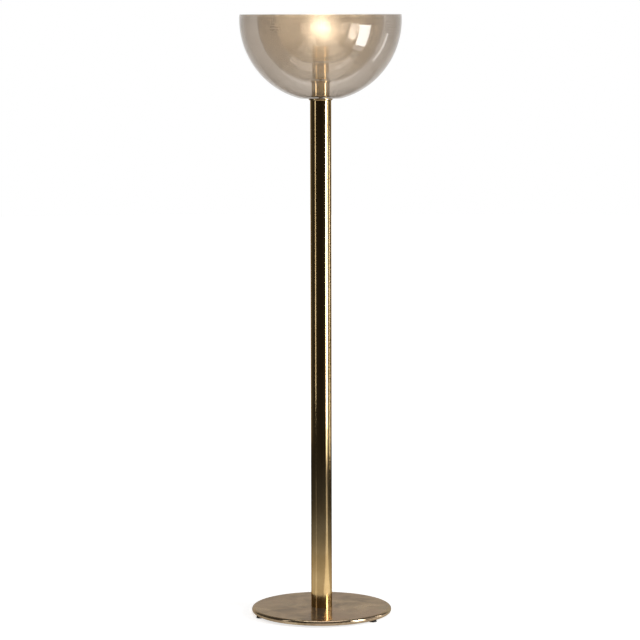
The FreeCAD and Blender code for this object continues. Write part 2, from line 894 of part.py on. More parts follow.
def make_bulb_contacts():
    turned("bulb_tip_contact", [
        (0, 0),
        (dim.tip_radius - dim.tip_bevel, 0),
        (dim.tip_radius, dim.tip_bevel),
        (dim.tip_radius, dim.tip_height),
        (0, dim.tip_height),
    ], bulb_z)
    rim_radius = dim.cap_bore_radius - dim.running_gap
    rim_z = dim.insulator_height
    turned("bulb_insulator", [
        (0, 0),
        (dim.insulator_foot_radius, 0),
        (rim_radius, rim_z),
        (rim_radius, rim_z + dim.insulator_land),
        (0, rim_z + dim.insulator_land),
    ], bulb_z + dim.tip_height)


def make_bulb_inside():
    """Glass stem, two leaning wires and the filament, all inside the envelope."""
    stem_height = dim.stem_top - dim.bulb_tail_start
    turned("bulb_stem", [
        (0, 0),
        (dim.stem_foot_radius, 0),
        (dim.stem_radius, dim.stem_foot_height),
        (dim.stem_radius, stem_height),
        (0, stem_height),
    ], bulb_z + dim.bulb_tail_start)
    wire_rise = dim.filament_height - dim.stem_top
    wire_reach = root(wire_rise * wire_rise + dim.filament_radius * dim.filament_radius)
    foot_lift = dim.filament_wire_radius * dim.filament_radius / wire_reach
    spread = math.degrees(math.atan2(dim.filament_radius.value, wire_rise.value))
    wires = []
    for number, side in enumerate((1, -1)):
        wire = document.addObject("Part::Cylinder", f"filament_wire_{number}")
        bind(wire, "Radius", dim.filament_wire_radius)
        bind(wire, "Height", wire_reach - dim.filament_wire_inset)
        wire.Placement.Rotation = FreeCAD.Rotation(FreeCAD.Vector(0, 1, 0), side * spread)
        place(wire, z=0)
        wires.append(wire)
    pair = document.addObject("Part::MultiFuse", "filament_wires")
    pair.Label = "filament_wires"
    pair.Shapes = wires
    place(pair, z=bulb_z + dim.stem_top + foot_lift)
    parts.append(pair)
    filament = document.addObject("Part::Torus", "filament")
    filament.Label = "filament"
    bind(filament, "Radius1", dim.filament_radius)
    bind(filament, "Radius2", dim.filament_wire_radius)
    bind(filament, "Angle3", dim.filament_arc)
    place(filament, z=bulb_z + dim.filament_height)
    parts.append(filament)


# ---- the lamp ----

make_base_cover()
make_base_weight()
make_bottom_plate()
make_feet()
make_foot_fasteners()
make_cord_inlet_bush()
make_pole_foot_plug()
make_plug_screws()
make_pole_tube()
make_pole_top_flange()
make_tie_rod()
make_inner_lead()
for bowl_name in bowl_radii:
    make_bowl(bowl_name)
make_gaskets("outer", dim.flange_radius, dim.clamp_ring_radius)
make_gaskets("middle", dim.middle_seat_radius, dim.upper_spacer_radius)
make_gaskets("inner", dim.inner_seat_radius, dim.upper_spacer_radius)
make_outer_clamp_washer()
make_spacer(
    "lower_spacer", dim.lower_spacer_radius,
    lower_stack_z + dim.clamp_ring_thickness, middle_seat_top_z - dim.middle_seat_thickness)
make_seat(
    "middle_bowl_seat", dim.middle_seat_radius, dim.middle_seat_thickness,
    dim.lower_spacer_radius, middle_seat_top_z)
make_spacer(
    "upper_spacer", dim.upper_spacer_radius,
    upper_stack_z, inner_seat_top_z - dim.inner_seat_thickness)
make_seat(
    "inner_bowl_seat", dim.inner_seat_radius, dim.inner_seat_thickness,
    dim.upper_spacer_radius, inner_seat_top_z)
make_socket_cup()
make_clamp()
make_lampholder()
make_bulb_glass()
make_bulb_cap()
make_bulb_contacts()
make_bulb_inside()
document.recompute()

for item in document.Objects:
    if "Invalid" in item.State or "Error" in item.State:
        raise RuntimeError(f"{item.Label} did not compute: {item.State}")
for part in parts:
    if part.Shape.isNull() or not part.Shape.isValid():
        raise RuntimeError(f"{part.Label} has no valid shape")

os.makedirs("parts", exist_ok=True)
for part in parts:
    part.Shape.exportStep(os.path.join("parts", f"{part.Label}.step"))
    print(f"{part.Label}: {len(part.Shape.Solids)} solid(s), {part.Shape.Volume / 1000:.2f} cm3")
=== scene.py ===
import json
import math

import bmesh
import bpy
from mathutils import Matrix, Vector


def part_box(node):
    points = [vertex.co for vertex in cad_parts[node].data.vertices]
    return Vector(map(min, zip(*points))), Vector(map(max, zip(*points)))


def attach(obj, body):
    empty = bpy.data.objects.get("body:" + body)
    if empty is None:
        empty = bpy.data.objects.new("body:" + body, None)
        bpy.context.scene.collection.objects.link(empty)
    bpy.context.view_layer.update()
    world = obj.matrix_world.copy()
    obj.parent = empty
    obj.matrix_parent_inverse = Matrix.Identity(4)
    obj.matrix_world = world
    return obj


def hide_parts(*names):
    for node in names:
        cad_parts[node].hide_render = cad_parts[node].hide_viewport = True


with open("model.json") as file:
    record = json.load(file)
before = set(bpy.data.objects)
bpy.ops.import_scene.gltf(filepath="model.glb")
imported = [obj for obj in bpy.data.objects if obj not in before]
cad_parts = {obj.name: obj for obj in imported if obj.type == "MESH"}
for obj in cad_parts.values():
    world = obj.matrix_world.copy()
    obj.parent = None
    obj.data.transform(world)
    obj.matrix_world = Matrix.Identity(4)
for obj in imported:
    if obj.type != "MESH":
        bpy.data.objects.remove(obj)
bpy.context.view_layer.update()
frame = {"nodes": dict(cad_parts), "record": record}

# Torchiere floor lamp: smoked bubble glass, polished brass, cast and rubber parts, in a small studio.
# Metres, +Z up, the front of the lamp towards -Y.

FULL_TURN = 2 * math.pi
LAMP = "lamp"
BULB = "bulb"


# ---- measures taken from the frame ----

def low(node):
    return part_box(node)[0].z


def high(node):
    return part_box(node)[1].z


def radius(node):
    lowest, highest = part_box(node)
    return (highest.x - lowest.x) / 2


RIM_Z = high("outer_bowl")
BOWLS = ("outer_bowl", "middle_bowl", "inner_bowl")
GLASS_WALL = 0.004
SEAT_FLAT = 0.008
RIM_RISE = 0.015
BOWL_CENTRE_Z = RIM_Z - RIM_RISE
GLASS_HOLE = 0.0065
BUBBLE_PITCH = 0.0078

ROD_HOLE = radius("tie_rod") + 0.0001
POLE_WALL = 0.0015
SPACER_WALL = 0.002
SPACER_FLOOR = 0.003
CUP_WALL = 0.0015
CUP_FLOOR = 0.0025
SPIGOT_INSET = 0.0022
FLANGE_ROUND = 0.003
FIT_GAP = 0.0002
SHEET = 0.0012
COVER_HOLE = 0.0243
LIP_WIDTH = 0.0013
POLISHED_EDGE = 0.010
POLISHED_EDGE_FULL = 0.005

BULB_GLOBE = radius("bulb_glass")
BULB_RADIANCE = 1.2
BULB_POWER = 3.6
BULB_COLOUR = (1.0, 0.91, 0.79)


# ---- node graphs ----

class Graph:
    """A material's node tree, built by short calls."""

    def __init__(self, name):
        self.material = bpy.data.materials.new(name)
        self.material.use_nodes = True
        self.tree = self.material.node_tree
        self.tree.nodes.clear()

    def add(self, kind, **settings):
        """A new node; inputs are given by name, sockets link and plain values are set."""
        inputs = settings.pop("inputs", {})
        node = self.tree.nodes.new(kind)
        for key, value in settings.items():
            setattr(node, key, value)
        for key, value in inputs.items():
            self.feed(node.inputs[key], value)
        return node

    def feed(self, socket, value):
        if isinstance(value, bpy.types.NodeSocket):
            self.tree.links.new(value, socket)
        elif socket.type == "RGBA" and len(value) == 3:
            socket.default_value = (*value, 1)
        else:
            socket.default_value = value

    def math(self, operation, first, second=0.5, clamp=False):
        node = self.add("ShaderNodeMath", operation=operation, use_clamp=clamp)
        self.feed(node.inputs[0], first)
        self.feed(node.inputs[1], second)
        return node.outputs[0]

    def noise(self, vector, scale, detail=3, roughness=0.55, distortion=0.0):
        node = self.add("ShaderNodeTexNoise", inputs={
            "Vector": vector, "Scale": scale, "Detail": detail,
            "Roughness": roughness, "Distortion": distortion,
        })
        return node.outputs["Fac"]

    def place(self, scale=(1, 1, 1), source="Object"):
        """Texture coordinates, stretched by a scale along each axis."""
        coordinates = self.add("ShaderNodeTexCoord").outputs[source]
        return self.add("ShaderNodeMapping", inputs={"Vector": coordinates, "Scale": scale}).outputs[0]

    def ramp(self, fac, *stops):
        """A colour ramp; each stop is (position, colour)."""
        node = self.add("ShaderNodeValToRGB", inputs={"Fac": fac})
        elements = node.color_ramp.elements
        while len(elements) < len(stops):
            elements.new(0.5)
        for element, (position, colour) in zip(elements, stops):
            element.position = position
            element.color = (*colour, 1)
        return node.outputs["Color"]

    def span(self, value, from_low, from_high, to_low, to_high):
        node = self.add("ShaderNodeMapRange", clamp=True, inputs={
            "Value": value, "From Min": from_low, "From Max": from_high,
            "To Min": to_low, "To Max": to_high,
        })
        return node.outputs["Result"]

    def mix_colour(self, fac, first, second, blend="MIX"):
        node = self.add("ShaderNodeMix", data_type="RGBA", blend_type=blend)
        self.feed(node.inputs["Factor"], fac)
        self.feed(node.inputs[6], first)
        self.feed(node.inputs[7], second)
        return node.outputs[2]

    def bump(self, height, strength, distance):
        node = self.add("ShaderNodeBump", inputs={
            "Height": height, "Strength": strength, "Distance": distance,
        })
        return node.outputs["Normal"]

    def mix_shader(self, fac, first, second):
        node = self.add("ShaderNodeMixShader")
        self.feed(node.inputs[0], fac)
        self.feed(node.inputs[1], first)
        self.feed(node.inputs[2], second)
        return node.outputs[0]

    def principled(self, **inputs):
        named = {key.replace("_", " "): value for key, value in inputs.items()}
        return self.add("ShaderNodeBsdfPrincipled", inputs=named).outputs[0]

    def finish(self, shader):
        output = self.add("ShaderNodeOutputMaterial")
        self.tree.links.new(shader, output.inputs["Surface"])
        return self.material


# ---- metals ----

BRASS_EDGE = (0.50, 0.37, 0.22)


def brass_material(name, bright, worn, brushing, polish, lacquer=0.0):
    """Polished brass: two tones in soft clouds, tarnish flecks, and fine lines along the brushing."""
    graph = Graph(name)
    place = graph.place()
    clouds = graph.noise(place, 9, 4)
    flecks = graph.noise(place, 160, 5, 0.7)
    lines = graph.noise(graph.place(brushing), 1, 3, 0.6)
    tone = graph.ramp(clouds, (0.35, worn), (0.62, bright))
    spotted = graph.mix_colour(
        graph.span(flecks, 0.60, 0.74, 0, 0.45), tone, tuple(part * 0.45 for part in worn))
    streaked = graph.mix_colour(graph.span(lines, 0.35, 0.7, 0, 0.22), spotted, worn)
    soft, sharp = polish
    rough = graph.math("ADD", graph.span(clouds, 0.3, 0.7, soft, sharp),
                       graph.span(lines, 0.3, 0.7, -0.03, 0.05))
    shader = graph.principled(
        Base_Color=streaked, Metallic=1.0, Roughness=rough, Specular_Tint=(*BRASS_EDGE, 1),
        Normal=graph.bump(lines, 0.06, 0.0004), Coat_Weight=lacquer, Coat_Roughness=0.04)
    return graph.finish(shader)


def patinated_disc_material():
    """The base's brass: browned in patches, rubbed in long strokes, lacquered, polished at the rim."""
    graph = Graph("brass_base")
    place = graph.place()
    patches = graph.noise(place, 13, 5, 0.62, 0.6)
    broad = graph.noise(place, 5, 3, 0.5, 0.3)
    greens = graph.noise(place, 8, 3, 0.5, 0.8)
    strokes = graph.noise(graph.place((14, 320, 200)), 1, 4, 0.65)
    spots = graph.noise(place, 190, 3, 0.6)
    tone = graph.ramp(
        patches, (0.36, (0.25, 0.17, 0.09)), (0.50, (0.52, 0.385, 0.225)), (0.64, (0.77, 0.61, 0.395)))
    reddened = graph.mix_colour(graph.span(broad, 0.42, 0.62, 0, 0.55), tone, (0.50, 0.31, 0.22))
    greened = graph.mix_colour(graph.span(greens, 0.56, 0.70, 0, 0.5), reddened, (0.40, 0.39, 0.24))
    stroked = graph.mix_colour(graph.span(strokes, 0.38, 0.68, 0, 0.5), greened, (0.80, 0.66, 0.46))
    spotted = graph.mix_colour(graph.span(spots, 0.62, 0.74, 0, 0.6), stroked, (0.13, 0.085, 0.05))
    worn_flat = graph.math("ADD", graph.span(patches, 0.3, 0.7, 0.36, 0.24),
                           graph.span(strokes, 0.3, 0.7, -0.03, 0.06))
    across = graph.add("ShaderNodeSeparateXYZ", inputs={"Vector": place}).outputs
    flat_place = graph.add("ShaderNodeCombineXYZ", inputs={"X": across["X"], "Y": across["Y"]}).outputs[0]
    reach = graph.add("ShaderNodeVectorMath", operation="LENGTH", inputs={0: flat_place}).outputs["Value"]
    rim = radius("base_cover")
    edge = graph.span(reach, rim - POLISHED_EDGE, rim - POLISHED_EDGE_FULL, 0, 1)
    rough = graph.math("MULTIPLY", worn_flat, graph.span(edge, 0, 1, 1, 0.35))
    shader = graph.principled(
        Base_Color=spotted, Metallic=0.86, Roughness=rough, Specular_Tint=(*BRASS_EDGE, 1),
        Normal=graph.bump(strokes, 0.12, 0.0005), Coat_Weight=0.5,
        Coat_Roughness=graph.span(broad, 0.3, 0.7, 0.015, 0.04), Coat_Normal=graph.bump(broad, 0.02, 0.001))
    return graph.finish(shader)


def plain_metal_material(name, colour, rough, grain=900, depth=0.0002):
    """Steel or other bare metal with turning marks and a slightly uneven tone."""
    graph = Graph(name)
    place = graph.place()
    clouds = graph.noise(place, 40, 4)
    marks = graph.noise(graph.place((60, 60, grain)), 1, 3)
    tone = graph.mix_colour(graph.span(clouds, 0.35, 0.65, 0, 0.4), colour,
                            tuple(part * 0.6 for part in colour))
    shader = graph.principled(
        Base_Color=tone, Metallic=1.0, Roughness=graph.span(marks, 0.3, 0.7, rough, rough + 0.12),
        Normal=graph.bump(marks, 0.15, depth))
    return graph.finish(shader)


def coarse_material(name, dark, light, rough, scale, depth):
    """Cast iron, paint, rubber or plastic: a mottled tone over a fine rough grain."""
    graph = Graph(name)
    place = graph.place()
    clouds = graph.noise(place, scale * 0.1, 4)
    grain = graph.noise(place, scale, 4, 0.65)
    tone = graph.ramp(clouds, (0.35, dark), (0.7, light))
    shader = graph.principled(
        Base_Color=tone, Roughness=graph.span(grain, 0.3, 0.7, rough - 0.1, rough + 0.1),
        Normal=graph.bump(grain, 0.35, depth))
    return graph.finish(shader)


def porcelain_material():
    """Glazed porcelain, faintly clouded."""
    graph = Graph("porcelain")
    place = graph.place()
    clouds = graph.noise(place, 60, 4)
    tone = graph.ramp(clouds, (0.35, (0.74, 0.71, 0.64)), (0.7, (0.84, 0.82, 0.77)))
    shader = graph.principled(
        Base_Color=tone, Roughness=graph.span(clouds, 0.3, 0.7, 0.12, 0.2), Coat_Weight=0.4,
        Normal=graph.bump(clouds, 0.05, 0.0003))
    return graph.finish(shader)


# ---- glass ----

def gloss_share(graph, normal_reflection):
    """Share of light that a glass surface mirrors, rising towards grazing, the same from both sides."""
    facing = graph.add("ShaderNodeLayerWeight", inputs={"Blend": 0.5}).outputs["Facing"]
    rise = graph.math("POWER", facing, 5.0)
    return graph.span(rise, 0, 1, normal_reflection, 0.85)


def bubble_rows(graph, columns, outer_length):
    """Rows of small bubbles just under the outer face: how much of a bubble, and its dark ring, which is
    painted shade standing in for the light a real bubble bends away at its edge.

    The rows run on the piece's own UV: U once round, V in metres along the meridian.
    """
    uv = graph.add("ShaderNodeTexCoord").outputs["UV"]
    along = graph.add("ShaderNodeSeparateXYZ", inputs={"Vector": uv}).outputs["Y"]
    outer_face = graph.span(along, outer_length, outer_length + 0.001, 1, 0)
    lattice = graph.add("ShaderNodeMapping", inputs={
        "Vector": uv, "Scale": (columns, 1 / BUBBLE_PITCH, 1)}).outputs[0]
    distance = graph.add("ShaderNodeTexVoronoi", voronoi_dimensions="2D", inputs={
        "Vector": lattice, "Scale": 1.0, "Randomness": 0.25}).outputs["Distance"]
    bubble = graph.math("MULTIPLY", outer_face, graph.span(distance, 0.28, 0.42, 1, 0))
    # Painted shade: the glass darkens more at a bubble's edge than in its middle, standing in for
    # refraction.
    painted_ring_shade = graph.math("MULTIPLY", bubble, graph.span(distance, 0.04, 0.16, 0.3, 1))
    return bubble, painted_ring_shade


def smoked_glass_material(node, tint, haze_colour, haze, bubbles, shine, settled):
    """Smoked glass with rows of small bubbles: tinted clear glass, a little haze, and gloss.

    Bubbles and haze thin out towards the bottom of the bowl, down to the settled share.
    """
    graph = Graph("smoke_" + node)
    size = radius(node)
    columns = round(FULL_TURN * size / BUBBLE_PITCH)
    bubble, painted_ring_shade = bubble_rows(graph, columns, size * math.pi / 2)
    wisps = graph.noise(graph.place((18, 18, 6)), 1, 4, 0.6, 0.8)
    zones = graph.span(graph.noise(graph.place(), 11, 3), 0.40, 0.60, 0.3, 1)
    height = graph.add("ShaderNodeSeparateXYZ", inputs={"Vector": graph.place()}).outputs["Z"]
    thinning = graph.span(height, low(node) + 0.3 * size, BOWL_CENTRE_Z - 0.2 * size, settled, 1.15)
    zones = graph.math("MULTIPLY", zones, thinning)
    present = graph.math("MULTIPLY", zones, bubbles)
    # Painted shade: the clear tint darkened where a bubble's ring lies, standing in for refraction at the
    # bubble.
    painted_ring_tint = tuple(part * (1 - 0.62 * bubbles) for part in tint)
    colour = graph.mix_colour(graph.math("MULTIPLY", painted_ring_shade, zones), tint, painted_ring_tint)
    clear = graph.add("ShaderNodeBsdfTransparent", inputs={"Color": colour}).outputs[0]
    relief = graph.math("ADD", graph.math("MULTIPLY", bubble, present), graph.math("MULTIPLY", wisps, 0.3))
    normal = graph.bump(relief, 0.22, 0.0006)
    glow = graph.add("ShaderNodeBsdfTranslucent", inputs={"Color": haze_colour, "Normal": normal})
    dust = graph.add("ShaderNodeBsdfDiffuse", inputs={"Color": haze_colour, "Normal": normal})
    spread = graph.add("ShaderNodeBsdfRefraction", inputs={
        "Color": haze_colour, "Roughness": 0.6, "IOR": 1.4, "Normal": normal})
    milk = graph.mix_shader(0.25, glow.outputs[0], dust.outputs[0])
    milk = graph.mix_shader(0.22, milk, spread.outputs[0])
    cloudy = graph.math("MULTIPLY", graph.span(wisps, 0.3, 0.7, 0.6, 1.4), haze)
    bubbled = graph.math("MULTIPLY", graph.math("MULTIPLY", bubble, present), 0.12)
    amount = graph.math("ADD", graph.math("MULTIPLY", cloudy, thinning), bubbled)
    body = graph.mix_shader(amount, clear, milk)
    gloss = graph.add("ShaderNodeBsdfGlossy", inputs={
        "Color": (1, 1, 1), "Roughness": 0.03, "Normal": graph.bump(wisps, 0.12, 0.0006)})
    return graph.finish(graph.mix_shader(gloss_share(graph, shine), body, gloss.outputs[0]))


def lit_bulb_material():
    """Pearl glass of a bulb that is on: brightest in the middle of the globe, dim at the neck."""
    graph = Graph("bulb_pearl")
    place = graph.place()
    height = graph.add("ShaderNodeSeparateXYZ", inputs={"Vector": place}).outputs["Z"]
    low_z, high_z = low("bulb_glass"), high("bulb_glass")
    tall = high_z - low_z
    warm = graph.span(height, low_z + 0.50 * tall, high_z - 0.20 * tall, 0.03, 1)
    facing = graph.add("ShaderNodeLayerWeight", inputs={"Blend": 0.5}).outputs["Facing"]
    centre = graph.math("ADD", graph.math("POWER", graph.span(facing, 0, 1, 1, 0.08), 2.0), 0.12)
    frost = graph.noise(place, 900, 3)
    strength = graph.math("MULTIPLY", graph.math("MULTIPLY", warm, centre), graph.span(
        frost, 0.3, 0.7, 0.94 * BULB_RADIANCE, 1.06 * BULB_RADIANCE))
    shader = graph.principled(
        Base_Color=(0.24, 0.225, 0.20, 1), Roughness=0.35, Emission_Color=(*BULB_COLOUR, 1),
        Emission_Strength=strength, Normal=graph.bump(frost, 0.1, 0.0002))
    return graph.finish(shader)


def clear_glass_material(name, tint):
    """Thin clear glass with a faint tint."""
    graph = Graph(name)
    clouds = graph.noise(graph.place(), 120, 3)
    colour = graph.ramp(clouds, (0.3, tuple(part * 0.94 for part in tint)), (0.7, tint))
    clear = graph.add("ShaderNodeBsdfTransparent", inputs={"Color": colour}).outputs[0]
    gloss = graph.add("ShaderNodeBsdfGlossy", inputs={"Color": (1, 1, 1), "Roughness": 0.04}).outputs[0]
    return graph.finish(graph.mix_shader(gloss_share(graph, 0.04), clear, gloss))


MATERIALS = {
    "pole_brass": brass_material(
        "brass_pole", (0.82, 0.60, 0.31), (0.66, 0.455, 0.21), (420, 420, 5), (0.13, 0.09)),
    "turned_brass": brass_material(
        "brass_turned", (0.88, 0.68, 0.38), (0.76, 0.56, 0.29), (60, 60, 900), (0.11, 0.08), 1.0),
    "contact_brass": brass_material(
        "brass_contact", (0.82, 0.66, 0.40), (0.62, 0.47, 0.26), (200, 200, 1200), (0.25, 0.2)),
    "base_brass": patinated_disc_material(),
    "iron": coarse_material("cast_iron", (0.035, 0.034, 0.033), (0.07, 0.066, 0.06), 0.7, 500, 0.0008),
    "plate_steel": coarse_material(
        "black_paint", (0.02, 0.02, 0.02), (0.035, 0.034, 0.033), 0.4, 900, 0.0002),
    "foot_rubber": coarse_material(
        "rubber_foot", (0.012, 0.012, 0.012), (0.03, 0.028, 0.026), 0.62, 1400, 0.0003),
    "gasket_rubber": coarse_material(
        "rubber_gasket", (0.02, 0.018, 0.015), (0.045, 0.04, 0.034), 0.6, 1400, 0.0002),
    "bush_plastic": coarse_material(
        "bush_plastic", (0.02, 0.018, 0.015), (0.035, 0.03, 0.026), 0.4, 1600, 0.0002),
    "lead_sheath": coarse_material(
        "lead_sheath", (0.10, 0.07, 0.03), (0.16, 0.115, 0.055), 0.45, 1200, 0.0002),
    "screw_steel": plain_metal_material("zinc_steel", (0.62, 0.62, 0.60), 0.28),
    "plug_steel": plain_metal_material("turned_steel", (0.50, 0.50, 0.49), 0.32),
    "cap_metal": plain_metal_material("bulb_cap_metal", (0.78, 0.77, 0.73), 0.25),
    "wire_metal": plain_metal_material("support_wire", (0.45, 0.43, 0.40), 0.3),
    "filament_tungsten": plain_metal_material("tungsten", (0.55, 0.45, 0.36), 0.4),
    "porcelain": porcelain_material(),
    "black_glass": coarse_material(
        "black_glass", (0.01, 0.01, 0.012), (0.02, 0.02, 0.024), 0.18, 700, 0.0001),
    "stem_glass": clear_glass_material("stem_glass", (0.86, 0.90, 0.89)),
    "bulb_pearl": lit_bulb_material(),
}

SMOKE = {
    "outer_bowl": smoked_glass_material(
        "outer_bowl", (0.835, 0.81, 0.782), (0.92, 0.84, 0.74), 0.06, 0.3, 0.045, 1.0),
    "middle_bowl": smoked_glass_material(
        "middle_bowl", (0.99, 0.97, 0.94), (0.97, 0.88, 0.77), 0.075, 1.0, 0.11, 0.3),
    "inner_bowl": smoked_glass_material(
        "inner_bowl", (0.99, 0.975, 0.95), (0.99, 0.93, 0.84), 0.09, 1.0, 0.14, 0.12),
}


# ---- turned meshes ----

SUPPORT = 1.1
CREASE_ANGLE = math.radians(32)
STRAIGHT_ANGLE = math.radians(160)


def rounded(outline, size, steps=4):
    """The closed outline with each corner cut by a small arc, held by a point on either side of it."""
    points = []
    count = len(outline)
    for index, corner in enumerate(outline):
        corner = Vector(corner)
        before = Vector(outline[index - 1]) - corner
        after = Vector(outline[(index + 1) % count]) - corner
        reach = min(size, before.length * 0.45, after.length * 0.45)
        turn = before.angle(after) if before.length and after.length else math.pi
        if turn > STRAIGHT_ANGLE or reach < 1e-6:
            points.append(tuple(corner))
            continue
        start = corner + before.normalized() * reach
        end = corner + after.normalized() * reach
        points.append(tuple(corner + before.normalized() * reach * SUPPORT))
        for step in range(steps + 1):
            share = step / steps
            near = start.lerp(corner, share)
            far = corner.lerp(end, share)
            points.append(tuple(near.lerp(far, share)))
        points.append(tuple(corner + after.normalized() * reach * SUPPORT))
    return points


def arc_points(centre, size, start, end, steps):
    """Points on an arc, angles in degrees."""
    points = []
    for step in range(steps + 1):
        angle = math.radians(start + (end - start) * step / steps)
        points.append((centre[0] + size * math.cos(angle), centre[1] + size * math.sin(angle)))
    return points


def lathe(name, outline, node, material, segments):
    """A turned piece that stands for a CAD node, with U round it and V along its outline in metres."""
    mesh = bpy.data.meshes.new(name)
    shape = bmesh.new()
    uv_layer = shape.loops.layers.uv.new("UVMap")
    rings = []
    for r, z in outline:
        angles = [FULL_TURN * step / segments for step in range(segments)]
        rings.append([shape.verts.new((r * math.cos(angle), r * math.sin(angle), z)) for angle in angles])
    lengths = [0.0]
    count = len(outline)
    for index in range(count):
        step = Vector(outline[(index + 1) % count]) - Vector(outline[index])
        lengths.append(lengths[-1] + step.length)
    for index in range(count):
        first, second = rings[index], rings[(index + 1) % count]
        for step in range(segments):
            following = (step + 1) % segments
            corners = [
                (first[step], step, lengths[index]),
                (first[following], step + 1, lengths[index]),
                (second[following], step + 1, lengths[index + 1]),
                (second[step], step, lengths[index + 1]),
            ]
            face = shape.faces.new([vertex for vertex, _, _ in corners])
            face.smooth = True
            for loop, (_, turn, along) in zip(face.loops, corners):
                loop[uv_layer].uv = (turn / segments, along)
    bmesh.ops.recalc_face_normals(shape, faces=shape.faces)
    for edge in shape.edges:
        if edge.calc_face_angle() > CREASE_ANGLE:
            edge.smooth = False
    shape.to_mesh(mesh)
    shape.free()
    piece = bpy.data.objects.new(name, mesh)
    bpy.context.scene.collection.objects.link(piece)
    mesh.materials.append(material)
    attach(piece, LAMP)
    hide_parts(node)


# ---- the bowls ----

def bowl_outline(node):
    """Blown bowl: outer face up from the seat, fire-polished rim, inner face down to the seat."""
    outer = radius(node)
    bore = outer - GLASS_WALL
    seat = outer - SEAT_FLAT
    inner_seat = bore - SEAT_FLAT
    rim = GLASS_WALL / 2
    rim_angle = math.degrees(math.asin((RIM_RISE - rim) / (outer - rim)))
    start = math.degrees(math.asin(-seat / outer))
    inner_start = math.degrees(math.asin(-inner_seat / bore))
    rim_centre = (
        (outer - rim) * math.cos(math.radians(rim_angle)),
        (outer - rim) * math.sin(math.radians(rim_angle)))
    points = [(GLASS_HOLE, -seat)]
    points += arc_points((0, 0), outer, start, rim_angle, 56)
    points += arc_points(rim_centre, rim, rim_angle, rim_angle + 180, 8)[1:-1]
    points += arc_points((0, 0), bore, rim_angle, inner_start, 56)
    points.append((GLASS_HOLE, -inner_seat))
    return [(r, z + BOWL_CENTRE_Z) for r, z in points]


for node in BOWLS:
    lathe(node + "_glass", bowl_outline(node), node, SMOKE[node], 224)


# ---- pole and brass fittings ----

def tube_outline(node, wall):
    outer = radius(node)
    return [(outer - wall, low(node)), (outer, low(node)), (outer, high(node)), (outer - wall, high(node))]


def ring_outline(node, hole):
    outer = radius(node)
    return [(hole, low(node)), (outer, low(node)), (outer, high(node)), (hole, high(node))]


def cup_outline(node, wall, floor):
    outer, bottom, top = radius(node), low(node), high(node)
    return [
        (ROD_HOLE, bottom), (outer, bottom), (outer, top), (outer - wall, top),
        (outer - wall, bottom + floor), (ROD_HOLE, bottom + floor),
    ]


def brass_piece(node, outline, edge=0.0006, material="turned_brass", segments=160):
    lathe(node + "_turned", rounded(outline, edge), node, MATERIALS[material], segments)


brass_piece("pole_tube", tube_outline("pole_tube", POLE_WALL), 0.0004, "pole_brass", 256)
for spacer in ("lower_spacer", "upper_spacer"):
    brass_piece(spacer, cup_outline(spacer, SPACER_WALL, SPACER_FLOOR))
brass_piece("socket_cup", cup_outline("socket_cup", CUP_WALL, CUP_FLOOR), 0.0005)
brass_piece("outer_clamp_washer", ring_outline("outer_clamp_washer", ROD_HOLE), 0.0008)


def seat_piece(node, thickness, spigot_radius):
    """Seat ring with a spigot below and its edge bevelled at the bottom and the top."""
    outer, top = radius(node), high(node)
    under = top - thickness
    brass_piece(node, [
        (ROD_HOLE, low(node)), (spigot_radius, low(node)), (spigot_radius, under),
        (outer - 0.0016, under), (outer, under + 0.0016),
        (outer, top - 0.0008), (outer - 0.0006, top), (ROD_HOLE, top),
    ], 0.0005)


seat_piece("middle_bowl_seat", 0.005, radius("lower_spacer") - SPIGOT_INSET)
seat_piece("inner_bowl_seat", 0.004, radius("upper_spacer") - SPIGOT_INSET)


def flange_piece():
    """Top ring of the pole: a plug in the tube, a rounded swell under the ring, and a flat top."""
    node = "pole_top_flange"
    outer, top = radius(node), high(node)
    under = high("pole_tube")
    plug = radius("pole_tube") - POLE_WALL - FIT_GAP
    outline = [(ROD_HOLE, low(node)), (plug, low(node)), (plug, under)]
    outline += arc_points((outer - FLANGE_ROUND, under + FLANGE_ROUND), FLANGE_ROUND, -90, 0, 8)
    outline += [(outer, top - 0.0008), (outer - 0.0008, top), (ROD_HOLE, top)]
    lathe(node + "_turned", outline, node, MATERIALS["turned_brass"], 160)


flange_piece()


# ---- base ----

def base_cover_piece():
    """Spun sheet: a flat top round the pole's hole, a half-round edge, and a lip turned in under it."""
    node = "base_cover"
    lowest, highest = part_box(node)
    outer = radius(node)
    half = (highest.z - lowest.z) / 2
    centre = (outer - half, lowest.z + half)
    lip = outer - half - LIP_WIDTH
    outline = [(COVER_HOLE, highest.z - SHEET)]
    outline += arc_points(centre, half - SHEET, 90, -90, 16)
    outline += [(lip, lowest.z + SHEET), (lip, lowest.z)]
    outline += arc_points(centre, half, -90, 90, 28)
    outline.append((outer - half - 0.001, highest.z))
    outline += [(outer * share, highest.z) for share in (0.8, 0.6, 0.4)]
    outline.append((COVER_HOLE, highest.z))
    lathe("base_cover_spun", outline, node, MATERIALS["base_brass"], 320)


base_cover_piece()


# ---- the CAD nodes that stay, each in its finish ----

def dress_cad_nodes():
    """Every CAD node gets the material of its slot."""
    slots = {entry["node"]: entry["material_slot"] for entry in frame["record"]["subparts"]}
    for node, piece in frame["nodes"].items():
        slot = slots[node]
        material = SMOKE[node] if slot == "smoked_glass" else MATERIALS[slot]
        piece.data.materials.clear()
        piece.data.materials.append(material)


dress_cad_nodes()
frame["nodes"]["bulb_glass"].visible_shadow = False


# ---- studio ----

FLOOR_RADIUS = 16.0
BOUNCE_RADIUS = 3.2
BOUNCE_DEPTH = 0.003
OVERHEAD_SHIFT = 0.3


def stage_disc(name, size, z, material):
    """A flat disc that belongs to the studio, not to the lamp."""
    mesh = bpy.data.meshes.new(name)
    shape = bmesh.new()
    bmesh.ops.create_circle(shape, cap_ends=True, radius=size, segments=128)
    shape.to_mesh(mesh)
    shape.free()
    disc = bpy.data.objects.new(name, mesh)
    disc.location.z = z
    mesh.materials.append(material)
    bpy.context.scene.collection.objects.link(disc)
    return disc


